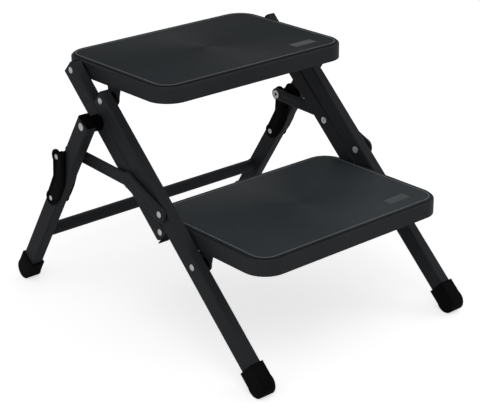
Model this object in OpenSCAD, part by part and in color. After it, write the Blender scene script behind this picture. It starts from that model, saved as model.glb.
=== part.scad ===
// Folding caravan entry step with two treads.
// Two pairs of parallel tube legs carry the treads. Two rear legs, joined by a bar,
// are held open by flat braces and plastic latches. Sizes are in millimetres.
// X is the width, Y runs from front to rear, Z is up, and the floor is at Z = 0.

/* [Treads] */
// Width of each tread
tread_w = 390; // [340:1:460]
// Depth of each tread, front to rear
tread_d = 277; // [262:1:320]
// Height of the top tread's surface
top_h = 420; // [405:1:440]
// Height from one tread to the next
rise = 212; // [200:1:222]
// Setback from one tread to the next
run = 224; // [212:1:236]
// Height of a tread's side, mat included
side_h = 28; // [24:0.5:32]
// Plan radius of a tread's corners
corner_r = 40; // [28:1:48]
// Sheet thickness of the pans
pan_t = 2; // [1.5:0.1:2.5]
// Radius of the pan's upper edge
edge_r = 3; // [2.6:0.1:5]
// Thickness of the mats
mat_t = 1.6; // [1:0.1:3]
// Bare edge left around a mat
rim_w = 4; // [3:0.5:8]
// Gap between a mat and the label plate let into it
label_gap = 0.3; // [0.2:0.1:1]

/* [Label plates] */
// Length of a label plate
label_w = 48; // [30:1:60]
// Width of a label plate
label_d = 20; // [14:1:28]
// Thickness of a label plate
label_t = 1.4; // [0.4:0.1:1.4]

/* [Tubes] */
// Tube size seen from the side
tube_h = 30; // [26:0.5:34]
// Tube size across the step
tube_w = 20; // [16:0.5:24]
// Wall thickness of the tubes
tube_t = 2; // [1.5:0.1:3]
// Outer corner radius of the tubes
tube_r = 3; // [2.5:0.1:4]
// Thickness of the plugs' flanges on the tubes' open ends
plug_t = 1.4; // [1:0.1:2]
// Diameter of the cross bar
bar_d = 22; // [18:0.5:24]
// Wall thickness of the cross bar
bar_t = 1.5; // [1:0.1:2.5]

/* [Pivots] */
// Front pivot, from the tread's front edge
pivot_back = 137.3; // [130:0.1:145]
// Front pivot, below the tread's surface
pivot_drop = 45.8; // [44:0.1:52]
// Distance along the legs between a tread's two pivots
pivot_step = 80; // [76:0.5:84]
// Rear-leg pivot, along the rear link from its top pivot
leg_at = 100.8; // [95:0.1:108]
// Brace pivots, along the legs from the top pivots
brace_at = 210.7; // [200:0.1:220]
// Slope of the rear legs from level
leg_slope = 56.8; // [54:0.1:60]
// Latch pivot, along the rear leg
latch_at = 178.9; // [170:0.1:190]
// Latch pin, along the rear leg
pin_at = 97.2; // [90:0.1:105]
// Latch pin, behind the rear leg's centre line
pin_out = 22.2; // [20:0.1:26]
// Cross bar, along the rear leg
bar_at = 283; // [275:1:295]
// Diameter of the large rivets
rivet_d = 8; // [6:0.5:9]
// Diameter of the latch rivets
small_d = 6; // [5:0.5:7]
// Diameter of the domed rivet heads on the treads, legs and braces
head_d = 10.6; // [10:0.2:13]
// Diameter of the spacers between the rear links and the rear legs
spacer_d = 26.4; // [20:0.4:28]
// Radial play in a turning joint
play = 0.05; // [0.02:0.01:0.09]

/* [Braces and latches] */
// Thickness of the brace plates
brace_t = 4; // [3:0.5:5]
// Half width of a brace's front arm
front_arm = 13.7; // [12:0.1:16]
// Half width of a brace's rear arm
rear_arm = 10.7; // [9:0.1:12]
// Thickness of a latch cheek
cheek_t = 3; // [2:0.1:3]

/* [Boots] */
// Wall of the boots around the tubes
boot_t = 2.6; // [2:0.1:3.5]
// Length of a boot's straight sleeve
boot_l = 31; // [24:1:40]

/* [Hidden] */
$fn = 48;

frame_color = "#26282b";
pan_color = "#2b2d30";
mat_color = "#353a3d";
steel_color = "#d5d7da";
black_color = "#101112";
label_color = "#4a4c50";

// Slope of the front legs, the distance between the treads' pivots, and the small
// gap that lets the rear link rest against the front leg when the step is open.
slope = atan2(rise, run);
link_l = sqrt(rise * rise + run * run);
link_gap = tube_h + 0.2;
// The pivot line lies this far from the upper face of a front leg or rear link.
line_in = 0.4 * tube_h;
line_off = tube_h / 2 - line_in;

// Layers across the step, from the tread's side outward.
ear_t = 3;
x_side = tread_w / 2;
x_ear = x_side - pan_t;
x_tube = x_side + 4;
x_out = x_tube + tube_w;
x_brace = x_out + 2.2;
x_arm = x_brace + brace_t;
x_leg = x_out + 15;
x_leg_out = x_leg + tube_w;
x_cheek_in = x_leg - 1.5;
x_cheek_out = x_leg_out + 1.5;
gap = 0.1;
head_t = 1.5;

// Directions seen from the side, as [Y, Z]: down a front leg and away from its upper face.
down = [-cos(slope), -sin(slope)];
under = [sin(slope), -cos(slope)];
leg_down = [cos(leg_slope), -sin(leg_slope)];
leg_back = [sin(leg_slope), cos(leg_slope)];

// Ends of the tubes, along each from its top pivot.
front_top = plug_t - 10.7;
link_top = plug_t - 9.5;
link_end = link_l + 10;
leg_top = plug_t - 11;

// Boots: half-round soles that touch the floor.
foot_r = tube_h / 2 + 2.7;
front_foot = (top_h - pivot_drop - line_off * cos(slope) - foot_r) / sin(slope);

// Pivot places for a top tread whose front edge is at Y = 0, then moved so that the
// floor's centre under the step is the origin.
p2_0 = [pivot_back, top_h - pivot_drop];
p1_0 = p2_0 - pivot_step * down + link_gap * under;
r_0 = p1_0 + leg_at * down;
rear_foot = (r_0[1] - foot_r) / sin(leg_slope);
low_y = p2_0[0] + front_foot * down[0] + line_off * under[0] - foot_r;
high_y = r_0[0] + rear_foot * leg_down[0] + foot_r;
front_y = -(low_y + high_y) / 2;

shift = [front_y, 0];
P2 = p2_0 + shift;
P1 = p1_0 + shift;
Q2 = P2 + link_l * down;
Q1 = P1 + link_l * down;
R = r_0 + shift;
K2 = P1 + brace_at * down;
K3 = P2 + brace_at * down;
V = R + latch_at * leg_down;
U = R + pin_at * leg_down + pin_out * leg_back;

// Place a shape drawn along a leg: x runs down the leg, y away from its upper or
// front face, and z is the step's X.
module down_leg(p, angle) {
    translate([0, p[0], p[1]])
        rotate([90, 0, 90])
            rotate([0, 0, angle])
                children();
}

// Place a side outline drawn in Y and Z as a plate from x0, t thick.
module side_plate(x0, t) {
    translate([x0, 0, 0])
        rotate([90, 0, 90])
            linear_extrude(t)
                children();
}

// A cylinder along X through a point [Y, Z], from x0 to x1.
module across(p, x0, x1, r) {
    translate([x0, p[0], p[1]])
        rotate([0, 90, 0])
            cylinder(h = x1 - x0, r = r);
}

// The same shape on the right side and mirrored on the left.
module both() {
    children();
    mirror([1, 0, 0])
        children();
}

module left() {
    mirror([1, 0, 0])
        children();
}

module round_rect(w, h, r) {
    translate([r, 0])
        square([w - 2 * r, h]);
    translate([0, r])
        square([w, h - 2 * r]);
    for (x = [r, w - r], y = [r, h - r])
        translate([x, y])
            circle(r);
}

// A rounded rectangle centred on the tread's middle.
module tread_outline(inset) {
    w = tread_w - 2 * inset;
    d = tread_d - 2 * inset;
    translate([-w / 2, -d / 2])
        round_rect(w, d, corner_r - inset);
}

// Solid with the tube's outline, from a0 to a1 along the leg; s is how far its near
// face lies from the pivot line, and grow makes it larger all round.
module bar_stock(a0, a1, s, x0, grow, r) {
    translate([a0, s - grow, x0 - grow])
        rotate([90, 0, 90])
            linear_extrude(a1 - a0)
                round_rect(tube_h + 2 * grow, tube_w + 2 * grow, r);
}

module tube(a0, a1, s, x0) {
    difference() {
        bar_stock(a0, a1, s, x0, 0, tube_r);
        bar_stock(a0 - 1, a1 + 1, s, x0, -tube_t, tube_r - tube_t);
    }
}

// A rivet along X: shank, a domed head outside and a flat drilled tail inside.
module rivet(p, x0, x1, d, dome_d, tail_d) {
    ball = (dome_d * dome_d / 4 + head_t * head_t) / (2 * head_t);
    difference() {
        union() {
            across(p, x0, x1, d / 2);
            across(p, x0 - head_t, x0, tail_d / 2);
        }
        across(p, x0 - head_t - 1, x0 + 2, 1.7);
    }
    translate([x1, p[0], p[1]])
        rotate([0, 90, 0])
            rotate_extrude()
                intersection() {
                    translate([0, head_t - ball])
                        circle(ball, $fn = 96);
                    square([dome_d / 2, head_t]);
                }
}

module ring(p, x0, x1, r_out, r_in) {
    difference() {
        across(p, x0, x1, r_out);
        across(p, x0 - 1, x1 + 1, r_in);
    }
}

// Plug in a tube's end at a: a flange that covers the end, and a short shank inside.
// The shank points down the leg when way is 1 and up when it is -1.
module plug(a, way, s, x0) {
    far = a - way * plug_t;
    deep = a + way * 2.6;
    bar_stock(min(far, a), max(far, a), s, x0, 0, tube_r);
    bar_stock(min(a, deep), max(a, deep), s, x0, -tube_t, tube_r - tube_t);
}

// Front legs: one tube each side, pivoted to both treads and to a brace.
module front_leg() {
    difference() {
        down_leg(P2, 180 + slope)
            tube(front_top, front_foot - 5, -line_in, x_tube);
        for (p = [P2, Q2])
            across(p, x_tube - 1, x_out + 1, rivet_d / 2);
        across(K3, x_tube - 1, x_out + 1, rivet_d / 2 + play);
    }
}

// Rubber boot: a sleeve over the tube's end with a half-round sole.
module boot(foot, s, x0) {
    difference() {
        union() {
            bar_stock(foot - boot_l, foot, s, x0, foot_r - tube_h / 2, 2);
            translate([foot, s + tube_h / 2, x0 - boot_t])
                cylinder(h = tube_w + 2 * boot_t, r = foot_r);
        }
        bar_stock(foot - boot_l - 1, foot - 5, s, x0, 0, tube_r);
    }
}

module front_boot() {
    down_leg(P2, 180 + slope)
        boot(front_foot, -line_in, x_tube);
}

module front_leg_plugs() {
    both()
        down_leg(P2, 180 + slope)
            plug(front_top, 1, -line_in, x_tube);
}

// Rivets of the front legs turn in the treads' ears.
module front_rivet(p) {
    both()
        rivet(p, x_ear - ear_t - gap, x_out, rivet_d, head_d, 11.4);
}

module front_washers() {
    both()
        for (p = [P2, Q2])
            ring(p, x_ear + gap, x_tube, 9, rivet_d / 2);
}

// Rear links: one tube each side behind the front leg, with a rounded lower corner.
module rear_link() {
    cut = 12;
    low = tube_h - line_in;
    difference() {
        down_leg(P1, 180 + slope)
            difference() {
                tube(link_top, link_end, -line_in, x_tube);
                translate([link_end - cut, low - cut, x_tube - 1])
                    linear_extrude(tube_w + 2)
                        difference() {
                            square(cut + 1);
                            circle(cut);
                        }
            }
        for (p = [P1, Q1, R])
            across(p, x_tube - 1, x_out + 1, rivet_d / 2);
        across(K2, x_tube - 1, x_out + 1, rivet_d / 2 + play);
    }
}

// Plugs of the links. The lower one's flange is square where the tube is rounded.
module link_plugs() {
    both()
        down_leg(P1, 180 + slope) {
            plug(link_top, 1, -line_in, x_tube);
            bar_stock(link_end, link_end + plug_t, -line_in, x_tube, 0, 1);
            translate([link_end - 2.6, tube_t - line_in, x_tube + tube_t])
                cube([2.6, 12, tube_w - 2 * tube_t]);
        }
}

module rear_rivet(p) {
    both()
        rivet(p, x_ear - gap, x_out, rivet_d, head_d, 11.4);
}

module rear_washers() {
    both()
        for (p = [P1, Q1])
            ring(p, x_side + gap, x_tube, 9, rivet_d / 2);
}

// Spacers that hold the rear legs outside the links, and the rivets they turn on.
module leg_spacers() {
    both()
        ring(R, x_out, x_leg - gap, spacer_d / 2, rivet_d / 2);
}

module leg_rivets() {
    both()
        rivet(R, x_tube, x_leg_out + gap, rivet_d, 12.6, 11.4);
}

// Rear legs, joined by a round bar welded between their inner faces.
module rear_leg() {
    difference() {
        down_leg(R, -leg_slope)
            tube(leg_top, rear_foot - 5, -tube_h / 2, x_leg);
        across(R, x_leg - 1, x_leg_out + 1, rivet_d / 2 + play);
        across(V, x_leg - 1, x_leg_out + 1, small_d / 2 + play);
    }
}

module rear_leg_plugs() {
    both()
        down_leg(R, -leg_slope)
            plug(leg_top, 1, -tube_h / 2, x_leg);
}

module rear_boot() {
    down_leg(R, -leg_slope)
        boot(rear_foot, -tube_h / 2, x_leg);
}

module cross_bar() {
    c = R + bar_at * leg_down + 3 * leg_back;
    bead = 1.2;
    difference() {
        union() {
            across(c, -x_leg, x_leg, bar_d / 2);
            both()
                translate([x_leg - 2 * bead, c[0], c[1]])
                    rotate([0, 90, 0])
                        cylinder(h = 2 * bead, r1 = bar_d / 2, r2 = bar_d / 2 + bead - 0.2);
        }
        across(c, -x_leg - 1, x_leg + 1, bar_d / 2 - bar_t);
    }
}

// Flat brace: a front arm between the leg and the link, and a rear arm to the latch.
module arm(p, q, half) {
    d = q - p;
    translate(p)
        rotate(atan2(d[1], d[0]))
            translate([0, -half])
                square([norm(d), 2 * half]);
}

module brace() {
    side_plate(x_brace, brace_t)
        difference() {
            union() {
                arm(K3, K2, front_arm);
                arm(K2, U, rear_arm);
                for (p = [K2, K3])
                    translate(p)
                        circle(front_arm + 0.4);
                translate(U)
                    circle(rear_arm + 0.4);
            }
            for (p = [K2, K3])
                translate(p)
                    circle(rivet_d / 2);
            translate(U)
                circle(5);
        }
}

module brace_rivets() {
    both()
        rivet(K3, x_tube - gap, x_arm, rivet_d, head_d, 11.4);
}

// Studs fixed flush in the braces, with drilled tails; the rear links turn on them.
module brace_studs() {
    both()
        difference() {
            union() {
                across(K2, x_tube - gap, x_arm, rivet_d / 2);
                across(K2, x_tube - gap - head_t, x_tube - gap, 5.7);
            }
            across(K2, x_tube - gap - head_t - 1, x_tube + 2, 1.7);
        }
}

module brace_washers() {
    both()
        for (p = [K2, K3])
            ring(p, x_out + gap, x_brace, 9, rivet_d / 2);
}

module brace_eyelets() {
    both()
        difference() {
            union() {
                across(U, x_brace - head_t, x_brace, 8);
                across(U, x_brace, x_arm, 5);
            }
            across(U, x_brace - head_t - 1, x_arm + 1, 3.2);
        }
}

// Latch outlines, along the rear leg and away from its front face. A cheek's upper
// end has a finger across the leg or none, and its front edge is wide or narrow.
cheek_plain = [[79, 18.6], [71.5, 9.4]];
cheek_wide = [[126.5, -18.4], [142, -20], [160, -20.4], [175, -18], [186.5, -10.5]];
cheek_narrow = [[112, -8], [125, -10.6], [140, -12.8], [160, -13.3], [180, -12], [188, -7]];
cheek_back = [[191.5, -3], [191.9, 5.8], [183.8, 12.8], [172.3, 12], [134.7, 13.7], [109, 27]];
function cheek_finger(deep) =
    [[83, 20], [63, 13.5], [60, -deep], [70, 4.2 - deep], [100.2, -3.5]];

module cheek(outline, x0) {
    translate([0, 0, x0])
        linear_extrude(cheek_t)
            difference() {
                union() {
                    polygon(outline);
                    translate([pin_at, pin_out])
                        circle(13);
                    translate([latch_at, 0])
                        circle(13.3);
                }
                translate([latch_at, 0])
                    circle(small_d / 2);
                translate([pin_at, pin_out])
                    circle(rivet_d / 2);
            }
}

// Plastic latch: two cheeks beside the rear leg, joined by a web behind it. Both
// latches have their wide cheek on the same side of the step.
module latch(wide_outside) {
    outer_front = wide_outside ? cheek_wide : cheek_narrow;
    inner_front = wide_outside ? cheek_narrow : cheek_wide;
    finger = wide_outside ? 13.5 : 21;
    down_leg(R, -leg_slope) {
        cheek(concat(cheek_plain, outer_front, cheek_back), x_cheek_out);
        cheek(concat(cheek_finger(finger), inner_front, cheek_back), x_cheek_in - cheek_t);
        translate([80, tube_h / 2 + 0.4, x_cheek_in - 1])
            cube([28, 2.6, x_cheek_out - x_cheek_in + 2]);
    }
}

module latch_rivets() {
    both()
        rivet(V, x_cheek_in - cheek_t, x_cheek_out + cheek_t, small_d, 8.6, 9);
}

// Pins fixed in the latches, hollow at the end that faces the brace.
module latch_pins() {
    both()
        difference() {
            rivet(U, x_arm + 0.3 + head_t, x_cheek_out + cheek_t, rivet_d, 9, rivet_d);
            across(U, x_arm, x_arm + 8, 3);
        }
}

// Section of a pan's edge: x is outward from the corner's centre, y is up.
module pan_edge() {
    edge_in = 12;
    top = side_h - mat_t - edge_r;
    difference() {
        translate([corner_r - edge_in, -side_h])
            union() {
                square([edge_in, top]);
                square([edge_in - edge_r, top + edge_r]);
                translate([edge_in - edge_r, top])
                    circle(edge_r);
            }
        translate([corner_r - edge_in - 1, -side_h])
            union() {
                translate([0, -1])
                    square([edge_in + 1 - pan_t, top + 1]);
                square([edge_in + 1 - edge_r, top + edge_r - pan_t]);
                translate([edge_in + 1 - edge_r, top])
                    circle(edge_r - pan_t);
            }
    }
}

// Sheet-metal pan with a rounded upper edge and a turned-down side.
module pan(y, z) {
    w = tread_w / 2 - corner_r;
    d = tread_d / 2 - corner_r;
    rear = [P1[0] - front_y - tread_d / 2, P1[1] - top_h];
    translate([0, y + tread_d / 2, z])
        difference() {
            union() {
                for (s = [0, 180])
                    rotate(s) {
                        translate([w, d, 0])
                            rotate([90, 0, 0])
                                linear_extrude(2 * d)
                                    pan_edge();
                        rotate(90)
                            translate([d, w, 0])
                                rotate([90, 0, 0])
                                    linear_extrude(2 * w)
                                        pan_edge();
                        translate([w, d, 0])
                            rotate_extrude(angle = 90)
                                pan_edge();
                        translate([-w, d, 0])
                            rotate(90)
                                rotate_extrude(angle = 90)
                                    pan_edge();
                    }
                translate([0, 0, -mat_t - pan_t])
                    linear_extrude(pan_t)
                        tread_outline(11);
            }
            both()
                across(rear, x_ear - 1, x_side + 1, rivet_d / 2 + play);
        }
}

// Mat on the pan's deck, with a window for the label plate.
module mat(y, z) {
    difference() {
        translate([0, y + tread_d / 2, z - mat_t])
            linear_extrude(mat_t)
                tread_outline(rim_w);
        label_plate(y, z - mat_t - 1, mat_t + 2, label_gap);
    }
}

// Plates that hang from the pan and carry the front pivots.
module ears(y, z) {
    top = -mat_t - edge_r;
    both()
        side_plate(x_ear - ear_t, ear_t)
            translate([y + pivot_back, z])
                difference() {
                    union() {
                        polygon([[-20, top], [13.7, top], [13.7, -pivot_drop],
                            [-13.2, -pivot_drop], [-18, -side_h]]);
                        translate([0, -pivot_drop])
                            circle(13.7);
                    }
                    translate([0, -pivot_drop])
                        circle(rivet_d / 2 + play);
                }
}

// Label plate's outline, grown all round, t thick from z upward.
module label_plate(y, z, t, grow) {
    translate([tread_w / 2 - 41 - label_w - grow, y + 33.5 - grow, z])
        linear_extrude(t)
            round_rect(label_w + 2 * grow, label_d + 2 * grow, 2 + grow);
}

module label(y, z) {
    label_plate(y, z - mat_t, label_t, 0);
}

lower_y = front_y - run;
lower_h = top_h - rise;

color(frame_color) left() front_leg();  // front_leg_left
color(frame_color) front_leg();  // front_leg_right
color(black_color) left() front_boot();  // front_boot_left
color(black_color) front_boot();  // front_boot_right
color(steel_color) front_rivet(P2);  // front_rivets_upper
color(steel_color) front_rivet(Q2);  // front_rivets_lower
color(black_color) front_washers();
color(black_color) front_leg_plugs();
color(frame_color) left() rear_link();  // rear_link_left
color(frame_color) rear_link();  // rear_link_right
color(steel_color) rear_rivet(P1);  // rear_rivets_upper
color(steel_color) rear_rivet(Q1);  // rear_rivets_lower
color(black_color) rear_washers();
color(black_color) link_plugs();
color(black_color) leg_spacers();
color(steel_color) leg_rivets();
color(frame_color) left() rear_leg();  // rear_leg_left
color(frame_color) rear_leg();  // rear_leg_right
color(black_color) left() rear_boot();  // rear_boot_left
color(black_color) rear_boot();  // rear_boot_right
color(frame_color) cross_bar();
color(black_color) rear_leg_plugs();
color(frame_color) left() brace();  // brace_left
color(frame_color) brace();  // brace_right
color(steel_color) brace_rivets();
color(steel_color) brace_studs();
color(black_color) brace_washers();
color(steel_color) brace_eyelets();
color(black_color) left() latch(true);  // latch_left
color(black_color) latch(false);  // latch_right
color(steel_color) latch_rivets();
color(steel_color) latch_pins();
color(pan_color) pan(front_y, top_h);  // top_pan
color(mat_color) mat(front_y, top_h);  // top_mat
color(pan_color) ears(front_y, top_h);  // top_ears
color(label_color) label(front_y, top_h);  // top_label
color(pan_color) pan(lower_y, lower_h);  // lower_pan
color(mat_color) mat(lower_y, lower_h);  // lower_mat
color(pan_color) ears(lower_y, lower_h);  // lower_ears
color(label_color) label(lower_y, lower_h);  // lower_label
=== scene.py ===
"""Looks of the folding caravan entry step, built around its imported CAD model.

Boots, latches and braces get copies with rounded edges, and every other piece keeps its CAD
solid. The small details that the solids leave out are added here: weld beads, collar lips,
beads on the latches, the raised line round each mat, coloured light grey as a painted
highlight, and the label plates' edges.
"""

import logging
import math
from dataclasses import dataclass, field
from enum import Enum
from typing import Any, Callable, Iterable, Mapping, Protocol, Sequence

import bmesh
import bpy
from mathutils import Matrix, Vector

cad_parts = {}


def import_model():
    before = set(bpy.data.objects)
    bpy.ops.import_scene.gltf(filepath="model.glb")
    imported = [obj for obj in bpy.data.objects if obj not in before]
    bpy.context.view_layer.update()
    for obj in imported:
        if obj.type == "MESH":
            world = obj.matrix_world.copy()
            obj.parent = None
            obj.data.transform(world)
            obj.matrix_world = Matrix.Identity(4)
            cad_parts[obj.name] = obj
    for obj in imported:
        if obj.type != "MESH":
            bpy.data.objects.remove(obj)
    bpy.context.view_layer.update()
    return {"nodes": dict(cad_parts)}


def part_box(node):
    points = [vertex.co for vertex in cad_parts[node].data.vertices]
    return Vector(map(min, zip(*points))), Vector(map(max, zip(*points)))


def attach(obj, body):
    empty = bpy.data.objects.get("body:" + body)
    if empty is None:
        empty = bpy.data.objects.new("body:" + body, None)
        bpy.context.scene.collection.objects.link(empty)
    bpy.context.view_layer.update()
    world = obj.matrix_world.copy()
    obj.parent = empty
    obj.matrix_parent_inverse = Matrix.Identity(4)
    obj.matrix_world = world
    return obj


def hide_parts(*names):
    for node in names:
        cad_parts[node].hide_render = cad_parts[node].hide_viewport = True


LOG = logging.getLogger("entry_step")
MM = 0.001
Colour = tuple[float, float, float, float]
Point = tuple[float, float]
Triple = tuple[float, float, float]
Placer = Callable[[float, float, float], Triple]


def srgb(text: str) -> Colour:
    """Turns a written sRGB colour into linear values.

    Args:
        text: the colour as #rrggbb.

    Returns:
        Its linear red, green and blue, with full alpha.
    """
    parts = [int(text[i : i + 2], 16) / 255 for i in (1, 3, 5)]
    linear = [v / 12.92 if v <= 0.04045 else ((v + 0.055) / 1.055) ** 2.4 for v in parts]
    return (linear[0], linear[1], linear[2], 1.0)


# Node helpers


class Sock:
    """A socket on which Python's operators add Math nodes."""

    def __init__(self, graph: "Graph", socket: bpy.types.NodeSocket) -> None:
        """Keeps the socket and the graph that it belongs to."""
        self.graph = graph
        self.socket = socket

    def _math(self, operation: str, a: Any, b: Any = 0.0) -> "Sock":
        """Adds a Math node for an operation on two values."""
        return self.graph.out("ShaderNodeMath", {"operation": operation}, {0: a, 1: b})

    def __add__(self, other: Any) -> "Sock":
        """self + other."""
        return self._math("ADD", self, other)

    __radd__ = __add__

    def __sub__(self, other: Any) -> "Sock":
        """self - other."""
        return self._math("SUBTRACT", self, other)

    def __rsub__(self, other: Any) -> "Sock":
        """other - self."""
        return self._math("SUBTRACT", other, self)

    def __mul__(self, other: Any) -> "Sock":
        """self * other."""
        return self._math("MULTIPLY", self, other)

    __rmul__ = __mul__

    def sine(self) -> "Sock":
        """The sine of the value."""
        return self._math("SINE", self)

    def size(self) -> "Sock":
        """The value without its sign."""
        return self._math("ABSOLUTE", self)

    def above(self, limit: float) -> "Sock":
        """1 where the value is above a limit, else 0."""
        return self._math("GREATER_THAN", self, limit)


class Graph:
    """Builds the nodes of one shader or geometry tree."""

    def __init__(self, tree: bpy.types.NodeTree) -> None:
        """Starts with an empty tree."""
        self.tree = tree
        tree.nodes.clear()

    def node(
        self,
        kind: str,
        settings: Mapping[str, Any] | None = None,
        inputs: Mapping[str | int, Any] | None = None,
    ) -> bpy.types.Node:
        """Adds a node.

        Args:
            kind: the node's type, such as ShaderNodeMath.
            settings: its properties, set first.
            inputs: values or links for its sockets, by name or number.

        Returns:
            The new node.
        """
        made = self.tree.nodes.new(kind)
        for name, value in (settings or {}).items():
            setattr(made, name, value)
        for name, value in (inputs or {}).items():
            self.feed(made.inputs[name], value)
        return made

    def out(
        self,
        kind: str,
        settings: Mapping[str, Any] | None = None,
        inputs: Mapping[str | int, Any] | None = None,
        output: str | int = 0,
    ) -> Sock:
        """Adds a node as node() does, and returns one of its outputs."""
        return Sock(self, self.node(kind, settings, inputs).outputs[output])

    def feed(self, socket: bpy.types.NodeSocket, value: Any) -> None:
        """Links an input socket or sets its value.

        Args:
            socket: the input.
            value: a Sock to link, or a plain value.
        """
        if isinstance(value, Sock):
            self.tree.links.new(value.socket, socket)
        else:
            socket.default_value = value


class MaterialGraph(Graph):
    """A shader tree that ends in a Principled shader."""

    def __init__(self, name: str) -> None:
        """Makes the material and its object coordinates.

        Args:
            name: the material's name.
        """
        self.material = bpy.data.materials.new(name)
        self.material.use_nodes = True
        super().__init__(self.material.node_tree)
        self.place = self.out("ShaderNodeTexCoord", output="Object")

    def noise(self, scale: float, detail: float = 2.0, place: Sock | None = None) -> Sock:
        """Adds smooth noise.

        Args:
            scale: its features in a metre.
            detail: its finer layers.
            place: where it is looked up, or None for the object coordinates.

        Returns:
            The noise, mostly between 0.3 and 0.7.
        """
        return self.out(
            "ShaderNodeTexNoise",
            inputs={"Vector": place or self.place, "Scale": scale, "Detail": detail},
            output="Fac",
        )

    def stretched(self, scale: Triple) -> Sock:
        """Object coordinates scaled apart along the axes."""
        return self.out("ShaderNodeMapping", inputs={"Vector": self.place, "Scale": scale})

    def mix(self, amount: Sock, a: Sock | Colour, b: Sock | Colour) -> Sock:
        """Mixes two colours, through the sockets that the Mix node has for them."""
        return self.out("ShaderNodeMix", {"data_type": "RGBA"}, {0: amount, 6: a, 7: b}, 2)

    def vector(self, operation: str, a: Sock, b: Sock | Triple = (0.0, 0.0, 0.0)) -> Sock:
        """Adds a Vector Math node for an operation on two vectors."""
        return self.out("ShaderNodeVectorMath", {"operation": operation}, {0: a, 1: b})

    def length(self, vector: Sock) -> Sock:
        """The length of a vector."""
        return self.out("ShaderNodeVectorMath", {"operation": "LENGTH"}, {0: vector}, "Value")

    def spread(self, value: Sock, low: float, high: float) -> Sock:
        """Stretches a band of a value to the range from 0 to 1, with the rest clamped.

        Args:
            value: the value.
            low: what becomes 0.
            high: what becomes 1.

        Returns:
            The stretched value.
        """
        return self.out(
            "ShaderNodeMapRange",
            {"clamp": True},
            {"Value": value, "From Min": low, "From Max": high},
        )

    def bump(self, height: Sock, distance: float, normal: Sock | None = None) -> Sock:
        """Adds a Bump node.

        Args:
            height: the height, from 0 to 1.
            distance: the height's full size in metres.
            normal: the normal of another bump below this one, if any.

        Returns:
            The bumped normal.
        """
        inputs: dict[str | int, Any] = {"Height": height, "Distance": distance, "Strength": 1.0}
        if normal is not None:
            inputs["Normal"] = normal
        return self.out("ShaderNodeBump", inputs=inputs, output="Normal")

    def finish(self, **inputs: Any) -> bpy.types.Material:
        """Adds the Principled shader and the output.

        Args:
            inputs: values or links of the shader's sockets, with _ for a space.

        Returns:
            The finished material.
        """
        named = {name.replace("_", " "): value for name, value in inputs.items()}
        shader = self.out("ShaderNodeBsdfPrincipled", inputs=named)
        self.node("ShaderNodeOutputMaterial", inputs={"Surface": shader})
        return self.material


# Finishes


class Finish(Protocol):
    """Anything that builds one material."""

    def build(self) -> bpy.types.Material:
        """Builds the material."""


@dataclass(frozen=True)
class PowderCoat:
    """Baked powder paint with a fine orange peel, light dust and a few rubs."""

    name: str
    tone: str
    dust: str
    roughness: float = 0.5
    rough_swing: float = 0.16
    rub_polish: float = 0.1
    dusting: float = 0.35
    specks: float = 0.35
    rubs: float = 0.3
    peel: float = 0.00006
    specular: float = 0.12

    def build(self) -> bpy.types.Material:
        """Builds the material.

        Returns:
            The material.
        """
        g = MaterialGraph(self.name)
        tone, dust = srgb(self.tone), srgb(self.dust)
        cloud = g.noise(scale=7.0, detail=4.0)
        streak = g.noise(scale=60.0, detail=3.0, place=g.stretched((1.0, 0.25, 1.0)))
        rub = g.spread(streak, low=0.66, high=0.78)
        speck = g.spread(g.noise(scale=900.0, detail=0.0), low=0.66, high=0.74)
        colour = g.mix(g.spread(cloud, low=0.3, high=0.75) * self.dusting, tone, dust)
        colour = g.mix(speck * self.specks, colour, dust)
        colour = g.mix(rub * self.rubs, colour, dust)
        rough = self.roughness + (cloud - 0.5) * self.rough_swing - rub * self.rub_polish
        return g.finish(
            Base_Color=colour, Roughness=rough, Normal=g.bump(g.noise(scale=420.0), self.peel),
            Specular_IOR_Level=self.specular,
        )


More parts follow.
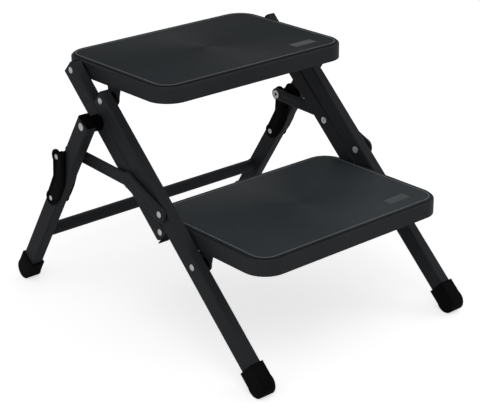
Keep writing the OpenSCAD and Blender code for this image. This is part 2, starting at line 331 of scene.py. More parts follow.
@dataclass(frozen=True)
class RibbedMat:
    """Anti-slip mat: a fine grit over shallow rings about the tread's middle.

    Its outer band is plain and has the pan's tone; the band starts at a rounded rectangle
    of the given half sizes and corner radius. Its sheen is drawn out in one direction and
    turned, which gives the mat faint wedges of light.
    """

    name: str
    tone: str
    light: str
    border: str
    centre: Point
    half: Point
    corner: float
    sheen: float
    sheen_turn: float = 0.875
    sheen_drawn: float = 0.7
    roughness: float = 0.36
    rough_swing: float = 0.12
    scuff_polish: float = 0.06
    clouds: float = 0.5
    ring_tone: float = 0.25
    grit_tone: float = 0.3
    scuffs: float = 0.18
    ring_pitch: float = 0.0021
    ring_depth: float = 0.00006
    grit_depth: float = 0.00016

    def build(self) -> bpy.types.Material:
        """Builds the material.

        Returns:
            The material.
        """
        g = MaterialGraph(self.name)
        light = srgb(self.light)
        moved = g.vector("SUBTRACT", g.place, (self.centre[0], self.centre[1], 0.0))
        flat = g.vector("MULTIPLY", moved, (1.0, 1.0, 0.0))
        rings = (g.length(flat) * (2 * math.pi / self.ring_pitch)).sine() * 0.5 + 0.5
        grit = g.noise(scale=1500.0, detail=1.0)
        cloud = g.noise(scale=5.0, detail=3.0)
        streak = g.noise(scale=38.0, detail=4.0, place=g.stretched((1.0, 0.4, 1.0)))
        scuff = g.spread(streak, low=0.58, high=0.8)
        colour = g.mix(g.spread(cloud, low=0.3, high=0.7) * self.clouds, srgb(self.tone), light)
        colour = g.mix(rings * self.ring_tone, colour, light)
        colour = g.mix(g.spread(grit, low=0.6, high=0.75) * self.grit_tone, colour, light)
        colour = g.mix(scuff * self.scuffs, colour, light)
        colour = g.mix(self._band(g, flat), colour, srgb(self.border))
        return g.finish(
            Base_Color=colour,
            Roughness=self.roughness + cloud * self.rough_swing - scuff * self.scuff_polish,
            Normal=g.bump(grit, self.grit_depth, g.bump(rings, self.ring_depth)),
            Specular_IOR_Level=self.sheen,
            Anisotropic=self.sheen_drawn,
            Anisotropic_Rotation=self.sheen_turn,
        )

    def _band(self, g: MaterialGraph, place: Sock) -> Sock:
        """Marks the mat's outer band.

        Args:
            g: the material's nodes.
            place: the place, measured from the mat's middle.

        Returns:
            1 outside the rounded inner field, else 0.
        """
        straight = (self.half[0] - self.corner, self.half[1] - self.corner, 0.0)
        beyond = g.vector("SUBTRACT", g.vector("ABSOLUTE", place), straight)
        return g.length(g.vector("MAXIMUM", beyond)).above(self.corner)


@dataclass(frozen=True)
class MouldedRubber:
    """Black moulded rubber with a dull bloom and a soft grain."""

    name: str
    tone: str
    bloom: str
    roughness: float = 0.55
    rough_swing: float = 0.2
    bloomed: float = 0.6
    grain_depth: float = 0.00008
    swell_depth: float = 0.00012
    specular: float = 0.06

    def build(self) -> bpy.types.Material:
        """Builds the material.

        Returns:
            The material.
        """
        g = MaterialGraph(self.name)
        cloud = g.noise(scale=26.0, detail=4.0)
        patches = g.spread(cloud, low=0.42, high=0.8)
        swell = g.bump(g.noise(scale=90.0, detail=1.0), self.swell_depth)
        return g.finish(
            Base_Color=g.mix(patches * self.bloomed, srgb(self.tone), srgb(self.bloom)),
            Roughness=self.roughness + cloud * self.rough_swing,
            Normal=g.bump(g.noise(scale=700.0), self.grain_depth, swell),
            Specular_IOR_Level=self.specular,
        )


@dataclass(frozen=True)
class MouldedPlastic:
    """Black plastic with a spark-eroded texture."""

    name: str
    tone: str
    worn: str
    roughness: float = 0.46
    rough_swing: float = 0.12
    clouds: float = 0.5
    grain_tone: float = 0.25
    grain_depth: float = 0.00005
    specular: float = 0.03

    def build(self) -> bpy.types.Material:
        """Builds the material.

        Returns:
            The material.
        """
        g = MaterialGraph(self.name)
        worn = srgb(self.worn)
        cloud = g.noise(scale=30.0, detail=3.0)
        grain = g.noise(scale=1100.0, detail=1.0)
        colour = g.mix(g.spread(cloud, low=0.45, high=0.8) * self.clouds, srgb(self.tone), worn)
        colour = g.mix(g.spread(grain, low=0.62, high=0.72) * self.grain_tone, colour, worn)
        return g.finish(
            Base_Color=colour, Roughness=self.roughness + cloud * self.rough_swing,
            Normal=g.bump(grain, self.grain_depth), Specular_IOR_Level=self.specular,
        )


@dataclass(frozen=True)
class PlatedSteel:
    """Zinc-plated rivets with faint dulled patches and hairline marks."""

    name: str
    bright: str
    dull: str
    roughness: float = 0.3
    rough_swing: float = 0.16
    hair_rough: float = 0.1
    dulled: float = 0.6
    hair_depth: float = 0.00003
    metallic: float = 0.55

    def build(self) -> bpy.types.Material:
        """Builds the material.

        Returns:
            The material.
        """
        g = MaterialGraph(self.name)
        cloud = g.noise(scale=180.0, detail=3.0)
        hair = g.noise(scale=900.0, place=g.stretched((1.0, 1.0, 0.06)))
        patches = g.spread(cloud, low=0.45, high=0.75)
        marks = g.spread(hair, low=0.55, high=0.8)
        return g.finish(
            Base_Color=g.mix(patches * self.dulled, srgb(self.bright), srgb(self.dull)),
            Metallic=self.metallic,
            Roughness=self.roughness + cloud * self.rough_swing + marks * self.hair_rough,
            Normal=g.bump(hair, self.hair_depth),
        )


@dataclass(frozen=True)
class PaintedStud:
    """Plated studs whose outer ends, flush in the braces, are painted over with them.

    The paint starts at a distance from the step's middle, which lies within the braces.
    """

    name: str
    bright: str
    dull: str
    paint: str
    painted_from: float = 0.223
    roughness: float = 0.34
    rough_swing: float = 0.12
    paint_rough: float = 0.12
    dulled: float = 0.6
    peel: float = 0.00005
    metallic: float = 0.55
    specular: float = 0.12

    def build(self) -> bpy.types.Material:
        """Builds the material.

        Returns:
            The material.
        """
        g = MaterialGraph(self.name)
        cloud = g.noise(scale=180.0, detail=3.0)
        across = g.out("ShaderNodeSeparateXYZ", inputs={0: g.place}, output="X")
        painted = across.size().above(self.painted_from)
        patches = g.spread(cloud, low=0.45, high=0.75)
        metal = g.mix(patches * self.dulled, srgb(self.bright), srgb(self.dull))
        return g.finish(
            Base_Color=g.mix(painted, metal, srgb(self.paint)),
            Metallic=(1.0 - painted) * self.metallic,
            Roughness=self.roughness + cloud * self.rough_swing + painted * self.paint_rough,
            Normal=g.bump(g.noise(scale=420.0), self.peel),
            Specular_IOR_Level=self.specular,
        )


@dataclass(frozen=True)
class BarePlate:
    """A plain grey plate with a fine lengthwise brushing."""

    name: str
    tone: str
    light: str
    roughness: float = 0.42
    rough_swing: float = 0.1
    brush_depth: float = 0.00003
    specular: float = 0.3

    def build(self) -> bpy.types.Material:
        """Builds the material.

        Returns:
            The material.
        """
        g = MaterialGraph(self.name)
        brushed = g.noise(scale=260.0, detail=3.0, place=g.stretched((0.04, 1.0, 1.0)))
        patches = g.spread(brushed, low=0.35, high=0.7)
        return g.finish(
            Base_Color=g.mix(patches, srgb(self.tone), srgb(self.light)),
            Roughness=self.roughness + brushed * self.rough_swing,
            Normal=g.bump(brushed, self.brush_depth),
            Specular_IOR_Level=self.specular,
        )


class Slot(Enum):
    """Material slots named for the added pieces; place() takes one and does not use it."""

    FRAME = "frame_paint"
    MAT = "mat_rubber"
    BOOT = "boot_rubber"
    PLASTIC = "black_plastic"
    LABEL = "label_plate"


@dataclass
class Palette:
    """All finishes of the step, built once."""

    made: dict[str, bpy.types.Material] = field(default_factory=dict)

    def add(self, key: str, finish: Finish) -> None:
        """Builds a finish under a key."""
        self.made[key] = finish.build()

    def __getitem__(self, key: str) -> bpy.types.Material:
        """The material of a key."""
        return self.made[key]


# Mesh helpers

WELD_DISTANCE = 2e-6
FLAT_ANGLE = 0.6
SMOOTH_ANGLE = 32.0
BEVEL_ANGLE = 40.0


def new_object(name: str, mesh: bpy.types.Mesh) -> bpy.types.Object:
    """Links a new object at the origin.

    Args:
        name: its name.
        mesh: its mesh.

    Returns:
        The object.
    """
    made = bpy.data.objects.new(name, mesh)
    bpy.context.collection.objects.link(made)
    return made


def plain(made: bpy.types.Object) -> bpy.types.Object:
    """Bakes an object's modifiers into its mesh and removes them.

    Args:
        made: the object.

    Returns:
        The same object.
    """
    depsgraph = bpy.context.evaluated_depsgraph_get()
    mesh = bpy.data.meshes.new_from_object(made.evaluated_get(depsgraph))
    made.modifiers.clear()
    made.data = mesh
    return made


def smooth(mesh: bpy.types.Mesh) -> None:
    """Shades a mesh smooth but for its sharp edges."""
    mesh.shade_smooth()
    mesh.set_sharp_from_angle(angle=math.radians(SMOOTH_ANGLE))


def merged_copy(node: bpy.types.Object, name: str) -> bpy.types.Object:
    """Copies a CAD node as a closed mesh with its flat faces joined.

    Args:
        node: the CAD node's object.
        name: the copy's name.

    Returns:
        The copy, with no material.
    """
    shell = bmesh.new()
    shell.from_mesh(node.data)
    bmesh.ops.remove_doubles(shell, verts=shell.verts, dist=WELD_DISTANCE)
    bmesh.ops.dissolve_limit(
        shell, angle_limit=math.radians(FLAT_ANGLE), verts=shell.verts, edges=shell.edges
    )
    points = [tuple(v.co) for v in shell.verts]
    shell.verts.index_update()
    faces = [[v.index for v in face.verts] for face in shell.faces]
    shell.free()
    mesh = bpy.data.meshes.new(name)
    mesh.from_pydata(points, [], faces)
    return new_object(name, mesh)


@dataclass
class Dresser:
    """Gives nodes and pieces their material, and new pieces their body."""

    nodes: Mapping[str, bpy.types.Object]
    palette: Palette

    def coat(self, names: Iterable[str], key: str) -> None:
        """Gives CAD nodes a material and leaves their shape alone.

        Args:
            names: the nodes.
            key: the material in the palette.
        """
        for name in names:
            node = self.nodes[name]
            if not node.material_slots:
                node.data.materials.append(None)
            for slot in node.material_slots:
                slot.material = self.palette[key]
            LOG.info("%s: %s", name, key)

    def place(
        self,
        piece: bpy.types.Object,
        body: str,
        slot: Slot,
        key: str,
        instead_of: str | None = None,
    ) -> None:
        """Finishes a new piece.

        Args:
            piece: the piece, at the origin, with its modifiers baked.
            body: the body that it rides on.
            slot: not used.
            key: its material in the palette.
            instead_of: the CAD node that it stands for, if any.
        """
        if not piece.data.materials:
            piece.data.materials.append(self.palette[key])
        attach(piece, body)
        if instead_of:
            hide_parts(instead_of)
        LOG.info("%s: %s, rides on %s", piece.name, key, body)

    def soften(
        self, node: str, body: str, slot: Slot, key: str, width: float, segments: int = 2
    ) -> None:
        """Replaces a CAD node by a copy with rounded edges.

        Args:
            node: the CAD node.
            body: the body that it belongs to.
            slot: passed on to place(), which does not use it.
            key: its material in the palette.
            width: the rounding's width in metres.
            segments: the rounding's steps.
        """
        piece = merged_copy(self.nodes[node], f"{node}_soft")
        bevel = piece.modifiers.new("edges", "BEVEL")
        bevel.width = width
        bevel.segments = segments
        bevel.limit_method = "ANGLE"
        bevel.angle_limit = math.radians(BEVEL_ANGLE)
        bevel.use_clamp_overlap = True
        plain(piece)
        smooth(piece.data)
        self.place(piece, body, slot, key, node)


# Geometry node builders


class GrowTree:
    """A Geometry Nodes tree with named inputs, run once on an object."""

    def __init__(self, name: str, inputs: Sequence[tuple[str, str, Any]]) -> None:
        """Makes the tree and its interface.

        Args:
            name: the tree's name.
            inputs: each input's name, socket type and value.
        """
        self.tree = bpy.data.node_groups.new(name, "GeometryNodeTree")
        face = self.tree.interface
        face.new_socket("Geometry", in_out="INPUT", socket_type="NodeSocketGeometry")
        self.values: dict[str, Any] = {}
        for label, kind, value in inputs:
            item = face.new_socket(label, in_out="INPUT", socket_type=kind)
            self.values[item.identifier] = value
        face.new_socket("Geometry", in_out="OUTPUT", socket_type="NodeSocketGeometry")
        self.graph = Graph(self.tree)
        self.entry = self.graph.node("NodeGroupInput")

    def given(self, label: str) -> Sock:
        """One of the tree's inputs."""
        return Sock(self.graph, self.entry.outputs[label])

    def end(self, shape: Sock, material: bpy.types.Material) -> None:
        """Ends the tree in Realize Instances and Set Material.

        Args:
            shape: the grown shape.
            material: its material.
        """
        real = self.graph.out("GeometryNodeRealizeInstances", inputs={0: shape})
        dressed = self.graph.out(
            "GeometryNodeSetMaterial", inputs={"Geometry": real, "Material": material}
        )
        self.graph.node("NodeGroupOutput", inputs={0: dressed})

    def run(self, name: str, mesh: bpy.types.Mesh) -> bpy.types.Object:
        """Runs the tree on a mesh.

        Args:
            name: the new object's name.
            mesh: the mesh that the shape grows on.

        Returns:
            The object with the plain result.
        """
        made = new_object(name, mesh)
        modifier = made.modifiers.new("grow", "NODES")
        modifier.node_group = self.tree
        for key, value in self.values.items():
            modifier[key] = value
        made.update_tag()
        return plain(made)


def path_mesh(name: str, loops: Sequence[Sequence[Triple]]) -> bpy.types.Mesh:
    """Makes a mesh of closed loops of edges.

    Args:
        name: the mesh's name.
        loops: the points of each loop, in metres.

    Returns:
        The mesh, which has no faces.
    """
    points: list[Triple] = []
    edges: list[tuple[int, int]] = []
    for loop in loops:
        first = len(points)
        points += loop
        edges += [(first + i, first + (i + 1) % len(loop)) for i in range(len(loop))]
    mesh = bpy.data.meshes.new(name)
    mesh.from_pydata(points, edges, [])
    return mesh


def bead_along(
    name: str,
    loops: Sequence[Sequence[Triple]],
    radius: float,
    material: bpy.types.Material,
    sides: int = 8,
) -> bpy.types.Object:
    """Grows a round bead along closed paths.

    Args:
        name: the piece's name.
        loops: the closed paths, as points in metres.
        radius: the bead's radius.
        material: its material.
        sides: the faces around the bead.

    Returns:
        The bead as a plain mesh.
    """
    tree = GrowTree(
        name, [("Radius", "NodeSocketFloat", radius), ("Sides", "NodeSocketInt", sides)]
    )
    g = tree.graph
    path = g.out("GeometryNodeMeshToCurve", inputs={0: tree.given("Geometry")})
    ring = g.out(
        "GeometryNodeCurvePrimitiveCircle",
        inputs={"Resolution": tree.given("Sides"), "Radius": tree.given("Radius")},
    )
    swept = g.out("GeometryNodeCurveToMesh", inputs={"Curve": path, "Profile Curve": ring})
    shaded = g.out("GeometryNodeSetShadeSmooth", inputs={0: swept})
    tree.end(shaded, material)
    return tree.run(name, path_mesh(name, loops))


def ripple_along(
    name: str,
    loops: Sequence[Sequence[Triple]],
    size: float,
    count: int,
    material: bpy.types.Material,
    seed: int = 7,
    uneven: Point = (0.85, 1.12),
) -> bpy.types.Object:
    """Grows a rippled weld of small overlapping beads along closed paths.

    Args:
        name: the piece's name.
        loops: the closed paths, as points in metres.
        size: a bead's radius.
        count: the beads on each path.
        material: the weld's material.
        seed: the seed of the beads' unevenness.
        uneven: the smallest and largest scale of a bead.

    Returns:
        The weld as a plain mesh.
    """
    tree = GrowTree(
        name,
        [
            ("Bead Size", "NodeSocketFloat", size),
            ("Count", "NodeSocketInt", count),
            ("Seed", "NodeSocketInt", seed),
        ],
    )
    g = tree.graph
    path = g.out("GeometryNodeMeshToCurve", inputs={0: tree.given("Geometry")})
    spots = g.out(
        "GeometryNodeCurveToPoints",
        {"mode": "COUNT"},
        {"Curve": path, "Count": tree.given("Count")},
    )
    bead = g.out(
        "GeometryNodeMeshIcoSphere", inputs={"Radius": tree.given("Bead Size"), "Subdivisions": 2}
    )
    size_spread = g.out(
        "FunctionNodeRandomValue",
        {"data_type": "FLOAT"},
        {2: uneven[0], 3: uneven[1], "Seed": tree.given("Seed")},
        output=1,
    )
    beads = g.out(
        "GeometryNodeInstanceOnPoints",
        inputs={"Points": spots, "Instance": bead, "Scale": size_spread},
    )
    shaded = g.out("GeometryNodeSetShadeSmooth", inputs={0: beads})
    tree.end(shaded, material)
    return tree.run(name, path_mesh(name, loops))


# Sub-assemblies


def middle_of(node: str) -> Point:
    """The middle of a CAD node's box as X and Y, in millimetres."""
    low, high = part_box(node)
    return ((low[0] + high[0]) / 2 / MM, (low[1] + high[1]) / 2 / MM)


def half_of(node: str, inset: float) -> Point:
    """Half of a CAD node's box along X and Y, less an inset, in millimetres."""
    low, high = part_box(node)
    return ((high[0] - low[0]) / 2 / MM - inset, (high[1] - low[1]) / 2 / MM - inset)


def top_of(node: str) -> float:
    """The height of a CAD node's top, in millimetres."""
    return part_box(node)[1][2] / MM


def in_metres(point: Point) -> Point:
    """A point in metres instead of millimetres."""
    return (point[0] * MM, point[1] * MM)


def level_loop(ring: Iterable[Point], height: float) -> list[Triple]:
    """A level loop's points in metres, from millimetres."""
    return [(x * MM, y * MM, height * MM) for x, y in ring]


@dataclass(frozen=True)
class SideView:
    """The part seen from the side, in millimetres and degrees.

    The points are pivots as (Y, Z), the slopes are the legs' own, and each foot is the
    distance down the leg from that pivot to the middle of the boot's half-round sole.
    """

    front_top: Point = (78.543, 374.2)
    rear_leg: Point = (84.195, 337.968)
    slope: float = 43.4234
    leg_slope: float = 56.8
    front_foot: float = 515.4625
    rear_foot: float = 382.7462

    def on_rear_leg(self, x: float, along: float, back: float) -> Triple:
        """Places a point by a rear leg's own directions.

        Args:
            x: the point's X.
            along: its distance down the leg from the pivot.
            back: its distance behind the leg's centre line.

        Returns:
            The point in metres.
        """
        slope = math.radians(self.leg_slope)
        y = self.rear_leg[0] + along * math.cos(slope) + back * math.sin(slope)
        z = self.rear_leg[1] - along * math.sin(slope) + back * math.cos(slope)
        return (x * MM, y * MM, z * MM)

    def on_front_leg(self, x: float, along: float, under: float) -> Triple:
        """Places a point by a front leg's own directions.

        Args:
            x: the point's X.
            along: its distance down the leg from the pivot.
            under: its distance under the line of the leg's pivots.

        Returns:
            The point in metres.
        """
        slope = math.radians(self.slope)
        y = self.front_top[0] - along * math.cos(slope) + under * math.sin(slope)
        z = self.front_top[1] - along * math.sin(slope) - under * math.cos(slope)
        return (x * MM, y * MM, z * MM)


SIDE = SideView()


def rounded_loop(centre: Point, half: Point, radius: float, steps: int = 6) -> list[Point]:
    """Makes a rounded rectangle.

    Args:
        centre: its middle.
        half: half its width and half its depth.
        radius: its corners' radius.
        steps: the steps of each corner.

    Returns:
        Its points, anticlockwise.
    """
    points = []
    corners = [(1, 1, 0), (-1, 1, 90), (-1, -1, 180), (1, -1, 270)]
    for sx, sy, start in corners:
        cx = centre[0] + sx * (half[0] - radius)
        cy = centre[1] + sy * (half[1] - radius)
        for step in range(steps + 1):
            turn = math.radians(start + 90 * step / steps)
            points.append((cx + radius * math.cos(turn), cy + radius * math.sin(turn)))
    return points


@dataclass(frozen=True)
class BootedLeg:
    """Where a pair of legs carries its boots.

    The middle is how far the tube's centre line lies off the line of its pivots.
    """

    name: str
    body: str
    place: Placer
    foot: float
    middle: float


@dataclass
class Boots:
    """Rubber boots with rounded edges and a lip at the collar.

    The collar lies up the leg from the foot, and its half sizes are across and in depth.
    """

    collar_up: float = 28.8
    collar_half: Point = (12.1, 17.2)
    collar_corner: float = 2.4
    lip: float = 0.9
    rounding: float = 1.6
    rounding_steps: int = 4
    legs: tuple[BootedLeg, ...] = (
        BootedLeg("front", "front_legs", SIDE.on_front_leg, SIDE.front_foot, middle=3.0),
        BootedLeg("rear", "rear_legs", SIDE.on_rear_leg, SIDE.rear_foot, middle=0.0),
    )

    def build(self, dresser: Dresser) -> None:
        """Softens each boot and adds its collar lip.

        Args:
            dresser: gives the pieces their material and body.
        """
        for leg in self.legs:
            loops = []
            for side in ("left", "right"):
                node = f"{leg.name}_boot_{side}"
                dresser.soften(
                    node, leg.body, Slot.BOOT, "boot", self.rounding * MM, self.rounding_steps
                )
                loops.append(self._collar(leg, middle_of(node)[0]))
            lip = bead_along(
                f"{leg.name}_boot_lips", loops, self.lip * MM, dresser.palette["boot"]
            )
            dresser.place(lip, leg.body, Slot.BOOT, "boot")

    def _collar(self, leg: BootedLeg, x: float) -> list[Triple]:
        """The path of a collar's lip around one boot."""
        ring = rounded_loop((x, leg.middle), self.collar_half, self.collar_corner)
        return [leg.place(px, leg.foot - self.collar_up, back) for px, back in ring]


@dataclass
class CrossBar:
    """The welded bar between the rear legs.

    Its place is given down the legs from their pivots and behind their centre lines, and the
    radius is the weld's.
    """

    radius: float = 11.4
    bead: float = 1.15
    beads: int = 26
    at: Point = (283.0, 3.0)
    half_span: float = 233.2
    ring_steps: int = 32

    def build(self, dresser: Dresser) -> None:
        """Adds the rippled welds at the bar's ends.

        Args:
            dresser: gives the pieces their material and body.
        """
        dresser.coat(["cross_bar"], "frame")
        loops = [self._ring(sign * self.half_span) for sign in (-1, 1)]
        weld = ripple_along(
            "bar_welds", loops, self.bead * MM, self.beads, dresser.palette["frame"]
        )
        dresser.place(weld, "rear_legs", Slot.FRAME, "frame")

    def _ring(self, x: float) -> list[Triple]:
        """Makes the weld's path around one end.

        Args:
            x: the end's X in millimetres.

        Returns:
            The path's points in metres.
        """
        along, back = self.at
        turns = [2 * math.pi * i / self.ring_steps for i in range(self.ring_steps)]
        return [
            SIDE.on_rear_leg(
                x, along + self.radius * math.cos(turn), back + self.radius * math.sin(turn)
            )
            for turn in turns
        ]


@dataclass
class Latches:
    """Plastic latches with rounded edges and a raised bead round each outer cheek.

    The outlines' points lie down the rear legs from their pivots and behind their centre
    lines. Both latches have their wide cheek on the left.
    """

    outer_face: float = 258.5
    bead: float = 0.9
    rounding: float = 0.7
    top: tuple[Point, ...] = ((86.0, 27.0), (84.5, 20.0), (79.5, 12.0), (82.5, 8.5))
    wide_front: tuple[Point, ...] = (
        (128.0, -14.8), (142.5, -16.5), (159.5, -16.9), (173.0, -14.8), (183.5, -8.3),
    )
    narrow_front: tuple[Point, ...] = (
        (113.0, -4.6), (126.0, -7.2), (141.0, -9.3), (160.0, -9.8), (178.5, -8.6),
    )
    back: tuple[Point, ...] = (
        (188.0, -1.5), (188.2, 4.5), (181.5, 9.5), (172.0, 8.6), (134.0, 10.0),
        (110.0, 20.5), (105.0, 28.5), (96.0, 31.6),
    )

    def build(self, dresser: Dresser) -> None:
        """Softens each latch and adds its bead.

        Args:
            dresser: gives the pieces their material and body.
        """
        for side in ("left", "right"):
            dresser.soften(
                f"latch_{side}", "latches", Slot.PLASTIC, "plastic", self.rounding * MM
            )
        loops = [
            [SIDE.on_rear_leg(x, a, w) for a, w in (*self.top, *front, *self.back)]
            for x, front in (
                (-self.outer_face, self.wide_front), (self.outer_face, self.narrow_front)
            )
        ]
        beads = bead_along("latch_beads", loops, self.bead * MM, dresser.palette["plastic"])
        dresser.place(beads, "latches", Slot.PLASTIC, "plastic")


@dataclass(frozen=True)
class TreadLook:
    """A tread's name and body, and the tones and sheen of its mat; the two mats' tones differ as
    painted shade and painted light.
    """

    name: str
    body: str
    tone: str
    light: str
    sheen: float


@dataclass
class Treads:
    """Pans, ribbed mats with a raised line coloured as a painted highlight, and label plates with
    a raised edge.

    The line and the label's edge are beads of the given radii, and each rise is how far
    their crest stands above the mat.
    """

    border: float = 6.0
    border_tone: str = "#26292b"
    field_corner: float = 25.0
    line: float = 1.2
    line_rise: float = 0.25
    line_steps: int = 14
    line_sides: int = 12
    label_inset: float = 0.6
    label_corner: float = 1.6
    label_line: float = 0.4
    label_rise: float = 0.1
    # The mats are one rubber: the top mat's tones are set darker as painted shade and the lower
    # mat's lighter as painted light, for how the light falls on each.
    looks: tuple[TreadLook, ...] = (
        TreadLook("top", "top_tread", "#282c2f", "#353a3d", 0.02),
        TreadLook("lower", "lower_tread", "#313639", "#41474b", 0.1),
    )

    def build(self, dresser: Dresser) -> None:
        """Dresses both treads.

        Args:
            dresser: gives the pieces their material and body.
        """
        for look in self.looks:
            mat = f"{look.name}_mat"
            middle = middle_of(mat)
            field_half = half_of(mat, self.border)
            dresser.palette.add(
                mat,
                RibbedMat(
                    f"{mat}_ribbed", look.tone, look.light, self.border_tone,
                    in_metres(middle), in_metres(field_half), self.field_corner * MM, look.sheen,
                ),
            )
            dresser.coat([mat], mat)
            dresser.coat([f"{look.name}_pan", f"{look.name}_ears"], "pan")
            dresser.coat([f"{look.name}_label"], "label")
            ring = rounded_loop(middle, field_half, self.field_corner, self.line_steps)
            self._light_line(dresser, look, ring)
            self._label_edge(dresser, look)

    def _light_line(self, dresser: Dresser, look: TreadLook, ring: list[Point]) -> None:
        """Adds the raised line round the mat's field, coloured light grey as a painted highlight.

        Args:
            dresser: gives the pieces their material and body.
            look: the tread.
            ring: the line's path, in millimetres.
        """
        # The raised line is real, but its light grey colour is a painted highlight along the
        # mat's edge.
        height = top_of(f"{look.name}_mat") + self.line_rise - self.line
        bead = bead_along(
            f"{look.name}_mat_edge", [level_loop(ring, height)], self.line * MM,
            dresser.palette["painted_highlight_line"], self.line_sides,
        )
        dresser.place(bead, look.body, Slot.MAT, "painted_highlight_line")

    def _label_edge(self, dresser: Dresser, look: TreadLook) -> None:
        """Adds the raised edge of a label plate.

        Args:
            dresser: gives the pieces their material and body.
            look: the tread.
        """
        label = f"{look.name}_label"
        ring = rounded_loop(
            middle_of(label), half_of(label, self.label_inset), self.label_corner
        )
        height = top_of(f"{look.name}_mat") + self.label_rise - self.label_line
        edge = bead_along(
            f"{look.name}_label_edge", [level_loop(ring, height)], self.label_line * MM,
            dresser.palette["label"],
        )
        dresser.place(edge, look.body, Slot.LABEL, "label")


@dataclass
class Frame:
    """Tubes, links, braces and everything that joins them."""

    tubes: tuple[str, ...] = (
        "front_leg_left", "front_leg_right", "rear_link_left", "rear_link_right",
        "rear_leg_left", "rear_leg_right",
    )
    steel: tuple[str, ...] = (
        "front_rivets_upper", "front_rivets_lower", "rear_rivets_upper", "rear_rivets_lower",
        "leg_rivets", "brace_rivets", "brace_eyelets", "latch_rivets", "latch_pins",
    )
    plastic: tuple[str, ...] = (
        "front_washers", "rear_washers", "leg_spacers", "brace_washers", "front_leg_plugs",
        "link_plugs", "rear_leg_plugs",
    )
    brace_rounding: float = 0.5

    def build(self, dresser: Dresser) -> None:
        """Gives each node its finish and softens the braces' edges.

        Args:
            dresser: gives the pieces their material and body.
        """
        dresser.coat(self.tubes, "frame")
        dresser.coat(self.steel, "steel")
        dresser.coat(["brace_studs"], "stud")
        dresser.coat(self.plastic, "plastic")
        for side in ("left", "right"):
            dresser.soften(
                f"brace_{side}", "braces", Slot.FRAME, "frame", self.brace_rounding * MM
            )


# Studio


@dataclass(frozen=True)
class Softbox:
    """A square lamp: its place and size in metres and its power in watts."""

    name: str
    place: Triple
    size: float
    power: float


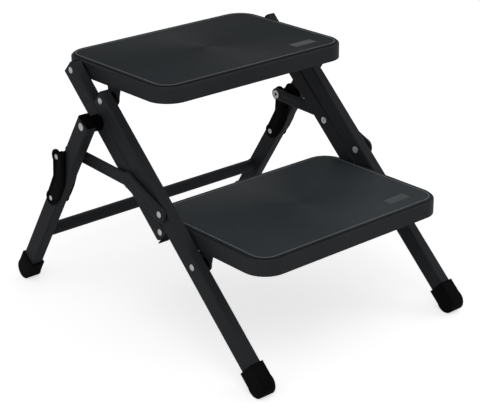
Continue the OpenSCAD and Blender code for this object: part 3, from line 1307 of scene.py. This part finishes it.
@dataclass
class Studio:
    """Floor, light and the camera at the photograph's angle, in metres and degrees."""

    lens: float = 104.14
    sensor: float = 36.0
    camera_at: Triple = (-1.38834, -1.66368, 1.06664)
    heading: float = 50.15
    pitch: float = 22.81
    roll: float = -0.95
    ambient: float = 0.376
    floor_half: float = 9.0
    floor_tone: float = 0.86
    floor_glow: float = 0.62
    aim: Triple = (0.0, 0.0, 0.25)
    lamps: tuple[Softbox, ...] = (
        Softbox("key", (-1.2, -1.5, 2.6), 2.0, 15.5),
        Softbox("fill", (2.2, -1.2, 1.6), 1.8, 8.5),
        Softbox("back", (1.5, 1.8, 2.0), 1.0, 1.5),
        Softbox("side", (-2.3, -0.5, 0.35), 1.2, 3.5),
    )

    def build(self) -> None:
        """Builds the whole studio."""
        self._floor()
        self._world()
        for lamp in self.lamps:
            self._light(lamp)
        self._camera()
        bpy.context.scene.view_settings.view_transform = "Standard"

    @staticmethod
    def _seen(g: Graph) -> Sock:
        """1 for rays from the camera, else 0."""
        return g.out("ShaderNodeLightPath", output="Is Camera Ray")

    def _floor(self) -> None:
        """Adds a pale floor, which keeps the step's shadow and shows white."""
        mesh = bpy.data.meshes.new("floor")
        half = self.floor_half
        corners_at = [(-half, -half, 0), (half, -half, 0), (half, half, 0), (-half, half, 0)]
        mesh.from_pydata(corners_at, [], [(0, 1, 2, 3)])
        floor = new_object("floor", mesh)
        material = bpy.data.materials.new("pale_floor")
        material.use_nodes = True
        g = Graph(material.node_tree)
        grey = (self.floor_tone, self.floor_tone, self.floor_tone, 1)
        matt = g.out("ShaderNodeBsdfDiffuse", inputs={"Color": grey})
        glow = g.out("ShaderNodeEmission", inputs={"Strength": self._seen(g) * self.floor_glow})
        both = g.out("ShaderNodeAddShader", inputs={0: matt, 1: glow})
        g.node("ShaderNodeOutputMaterial", inputs={"Surface": both})
        mesh.materials.append(material)

    def _world(self) -> None:
        """Adds a surround that the camera sees as white and that lights the step less."""
        world = bpy.data.worlds.new("studio")
        world.use_nodes = True
        g = Graph(world.node_tree)
        seen = self._seen(g)
        strength = seen * (1.0 - self.ambient) + self.ambient
        light = g.out(
            "ShaderNodeBackground", inputs={"Color": (1, 1, 1, 1), "Strength": strength}
        )
        g.node("ShaderNodeOutputWorld", inputs={"Surface": light})
        bpy.context.scene.world = world

    def _light(self, lamp: Softbox) -> None:
        """Adds a lamp that faces the step.

        Args:
            lamp: the lamp.
        """
        data = bpy.data.lights.new(lamp.name, "AREA")
        data.size = lamp.size
        data.energy = lamp.power
        made = bpy.data.objects.new(lamp.name, data)
        bpy.context.collection.objects.link(made)
        made.location = lamp.place
        towards = Vector(self.aim) - Vector(lamp.place)
        made.rotation_euler = towards.to_track_quat("-Z", "Y").to_euler()

    def _camera(self) -> None:
        """Adds the camera at the photograph's place and angle."""
        heading, pitch, roll = (
            math.radians(angle) for angle in (self.heading, self.pitch, self.roll)
        )
        level = Vector((math.cos(heading), math.sin(heading), 0.0))
        up = Vector((0.0, 0.0, 1.0))
        ahead = level * math.cos(pitch) - up * math.sin(pitch)
        over = up * math.cos(pitch) + level * math.sin(pitch)
        right = ahead.cross(over)
        right, over = (
            right * math.cos(roll) + over * math.sin(roll),
            over * math.cos(roll) - right * math.sin(roll),
        )
        data = bpy.data.cameras.new("camera")
        data.lens = self.lens
        data.sensor_width = self.sensor
        camera = bpy.data.objects.new("camera", data)
        bpy.context.collection.objects.link(camera)
        turn = Matrix((right, over, -ahead)).transposed().to_4x4()
        camera.matrix_world = Matrix.Translation(self.camera_at) @ turn
        bpy.context.scene.camera = camera


def build_palette() -> Palette:
    """Builds the finishes other than the mats'.

    Returns:
        The palette with these finishes.
    """
    palette = Palette()
    palette.add("frame", PowderCoat("frame_powder_coat", "#27282b", "#36393d"))
    palette.add("pan", PowderCoat("pan_powder_coat", "#2a2c2f", "#3b3e42", roughness=0.46))
    palette.add("boot", MouldedRubber("boot_moulded_rubber", "#08080a", "#141517"))
    palette.add("plastic", MouldedPlastic("black_moulded_plastic", "#050506", "#0d0e10"))
    palette.add("steel", PlatedSteel("rivet_plated_steel", "#e6e7e9", "#c4c6c9"))
    palette.add("stud", PaintedStud("stud_part_painted", "#e6e7e9", "#c4c6c9", "#2b2c30"))
    palette.add("label", BarePlate("label_bare_plate", "#454749", "#505355"))
    # Painted highlight: the line round each mat is coloured light grey to stand in for light
    # along the mat's edge.
    palette.add(
        "painted_highlight_line", PowderCoat("mat_edge_light", "#7f8487", "#969b9e", roughness=0.4)
    )
    return palette


def corners(box: Iterable[Iterable[float]]) -> list[list[float]]:
    """A box as plain lists of numbers."""
    return [[float(v) for v in corner] for corner in box]


def main() -> None:
    """Loads the CAD frame, dresses it and builds the studio."""
    logging.basicConfig(level=logging.INFO, format="%(message)s")
    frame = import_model()
    dresser = Dresser(frame["nodes"], build_palette())
    for part in (Frame(), CrossBar(), Boots(), Latches(), Treads()):
        LOG.info("building %s", type(part).__name__)
        part.build(dresser)
    Studio().build()


if __name__ == "__main__":
    main()
